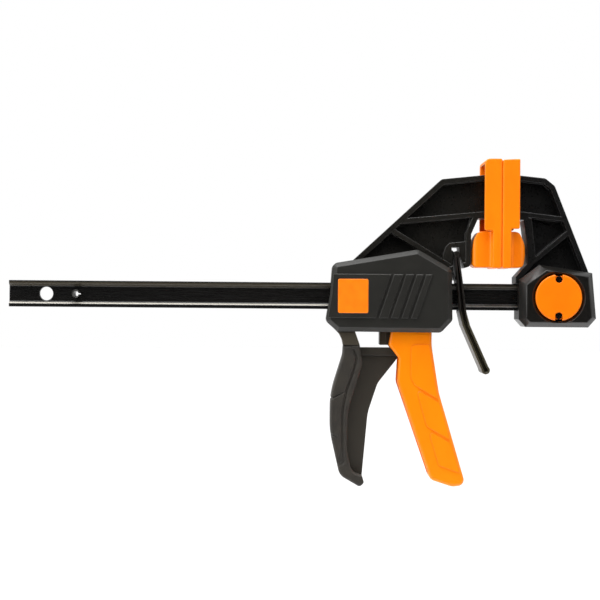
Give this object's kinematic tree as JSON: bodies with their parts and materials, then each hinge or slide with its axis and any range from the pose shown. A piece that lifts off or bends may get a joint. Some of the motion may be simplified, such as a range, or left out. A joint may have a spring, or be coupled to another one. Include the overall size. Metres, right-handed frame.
{
  "type": "quick release bar clamp",
  "caption": "One-handed quick release bar clamp: pads on a fixed and a sliding jaw, squeeze trigger that drives the jaw along the bar, tilting release lever and a push-to-unlock jaw.",
  "frame": {"origin": "centre of the fixed jaw's pad face, in the plane where the closed pads meet", "axes": "+X along the bar from the moving jaw to the fixed jaw, +Z from the bar up to the jaws, handle down, near side at -Y"},
  "size_m": [0.3701, 0.0332, 0.2063],
  "materials": {
    "black_painted_steel": "satin black paint",
    "black_lever_steel": "satin black paint",
    "hardened_steel": "oiled, ground",
    "blackened_steel": "hardened black, oiled",
    "spring_steel": "phosphated",
    "black_screws": "black oxide",
    "black_nylon": "glass-filled nylon, semi-gloss",
    "charcoal_nylon": "fine textured",
    "grip_rubber": "soft touch",
    "orange_plastic": "satin",
    "orange_pad": "satin, non-marring",
    "badge_orange": "printed, plain"
  },
  "bodies": {
    "bar_and_fixed_jaw": {"bar": "black_painted_steel", "bar_stop_pin": "spring_steel", "fixed_jaw_frame": "black_nylon", "fixed_jaw_pad": "orange_pad", "lock_box_near_cover": "charcoal_nylon", "lock_box_far_cover": "charcoal_nylon", "lock_box_screws": "black_screws", "lock_spring": "spring_steel"},
    "lock": {"lock_button": "orange_plastic", "lock_cap": "black_nylon", "lock_pin": "hardened_steel", "lock_tie_screws": "black_screws"},
    "moving_jaw": {"moving_jaw_frame": "black_nylon", "moving_jaw_pad": "orange_pad", "body_near_cover": "charcoal_nylon", "body_far_cover": "charcoal_nylon", "body_screws": "black_screws", "badge_inlay": "badge_orange", "grip": "grip_rubber", "trigger_pin": "hardened_steel", "drive_spring": "spring_steel", "brake_spring": "spring_steel"},
    "trigger": {"trigger": "orange_plastic"},
    "drive_plates": {"drive_plate_rear": "blackened_steel", "drive_plate_front": "blackened_steel"},
    "release_lever": {"release_lever": "black_lever_steel"}
  },
  "joints": [
    {"name": "moving_jaw_slide", "type": "slide", "parent": "bar_and_fixed_jaw", "child": "moving_jaw", "axis": [-1, 0, 0], "range_m": [0, 0.1524]},
    {"name": "trigger_squeeze", "type": "hinge", "parent": "moving_jaw", "child": "trigger", "pos_m": [-0.05, 0, -0.0379], "axis": [0, 1, 0], "range_deg": [0, 15], "stiffness_Nm_per_rad": 0.6, "springref_deg": -8.59},
    {"name": "drive_plates_push", "type": "slide", "parent": "moving_jaw", "child": "drive_plates", "axis": [-1, 0, 0], "range_m": [0, 0.0113], "deforming": ["drive_spring"]},
    {"name": "release_lever_tilt", "type": "hinge", "parent": "moving_jaw", "child": "release_lever", "pos_m": [-0.0278, 0, -0.0252], "axis": [0, 1, 0], "range_deg": [0, 5], "stiffness_Nm_per_rad": 0.4, "springref_deg": -8.59, "deforming": ["brake_spring"]},
    {"name": "lock_press", "type": "slide", "parent": "bar_and_fixed_jaw", "child": "lock", "axis": [0, 1, 0], "range_m": [0, 0.0036], "stiffness_N_per_m": 800, "springref_m": -0.003, "deforming": ["lock_spring"]}
  ],
  "couplings": [
    {"joint": "drive_plates_push", "follows": "trigger_squeeze", "m_per_rad": 0.0428}
  ]
}
